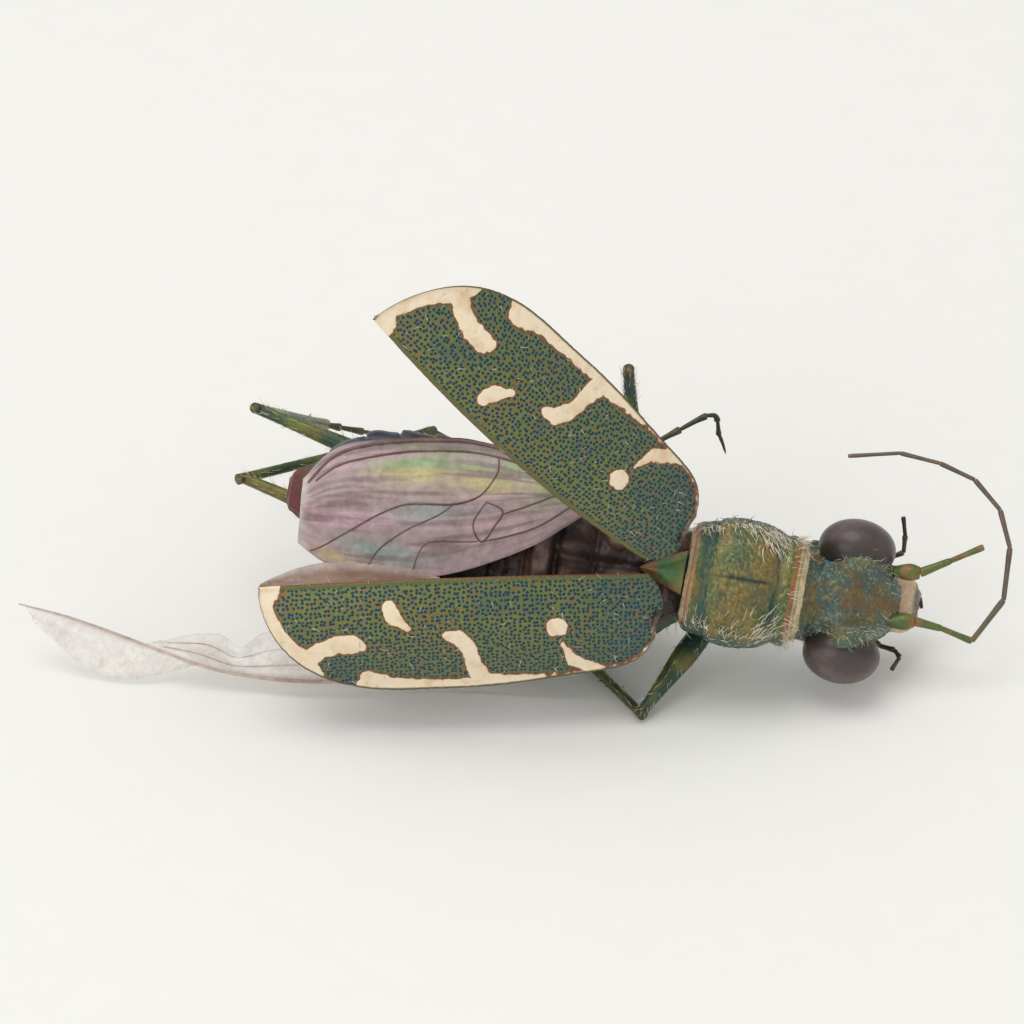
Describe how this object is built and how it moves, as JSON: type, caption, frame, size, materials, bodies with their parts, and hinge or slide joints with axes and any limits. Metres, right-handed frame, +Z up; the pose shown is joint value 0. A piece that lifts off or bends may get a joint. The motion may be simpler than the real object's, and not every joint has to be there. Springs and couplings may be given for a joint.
{
  "type": "tiger beetle",
  "caption": "Still life-size model of a dead, dried tiger beetle resting on its side with open elytra, a folded and a stretched hind wing, long legs and feelers",
  "frame": {"origin": "on the floor below the middle of the bounding box", "axes": "+Z up, +X along the beetle towards its head, the back of the beetle turned to -Y and up"},
  "size_m": [0.0194, 0.0103, 0.0093],
  "materials": {
    "bronze_cuticle": "wrinkled olive-bronze cuticle of the head and pronotum with a metallic sheen and blue-green grooves",
    "body_cuticle": "dark blue-brown cuticle of the hind body with white hairs along its sides",
    "elytron": "olive-brown elytra, closely pitted, with cream spots and bands edged in rust",
    "wing_membrane": "clear, wrinkled wing membrane with brown veins and faint iridescence",
    "leg_cuticle": "green and copper metallic legs with white bristles",
    "feeler": "jointed feelers, green-copper at the base and dull brown beyond",
    "mouth_horn": "dark brown mandibles and palps",
    "pale_lip": "cream upper lip",
    "eye": "dark purplish compound eyes"
  },
  "bodies": {
    "root": {"head": "bronze_cuticle", "pronotum": "bronze_cuticle", "thorax": "body_cuticle", "abdomen": "body_cuticle", "labrum": "pale_lip", "eye_left": "eye", "eye_right": "eye", "mandible_left": "mouth_horn", "mandible_right": "mouth_horn", "palp_left": "mouth_horn", "palp_right": "mouth_horn", "antenna_left": "feeler", "antenna_right": "feeler", "elytron_left": "elytron", "elytron_right": "elytron", "hind_wing_left": "wing_membrane", "hind_wing_right": "wing_membrane", "leg_fore_left": "leg_cuticle", "leg_fore_right": "leg_cuticle", "leg_middle_left": "leg_cuticle", "leg_middle_right": "leg_cuticle", "leg_hind_left": "leg_cuticle", "leg_hind_right": "leg_cuticle"}
  },
  "joints": []
}
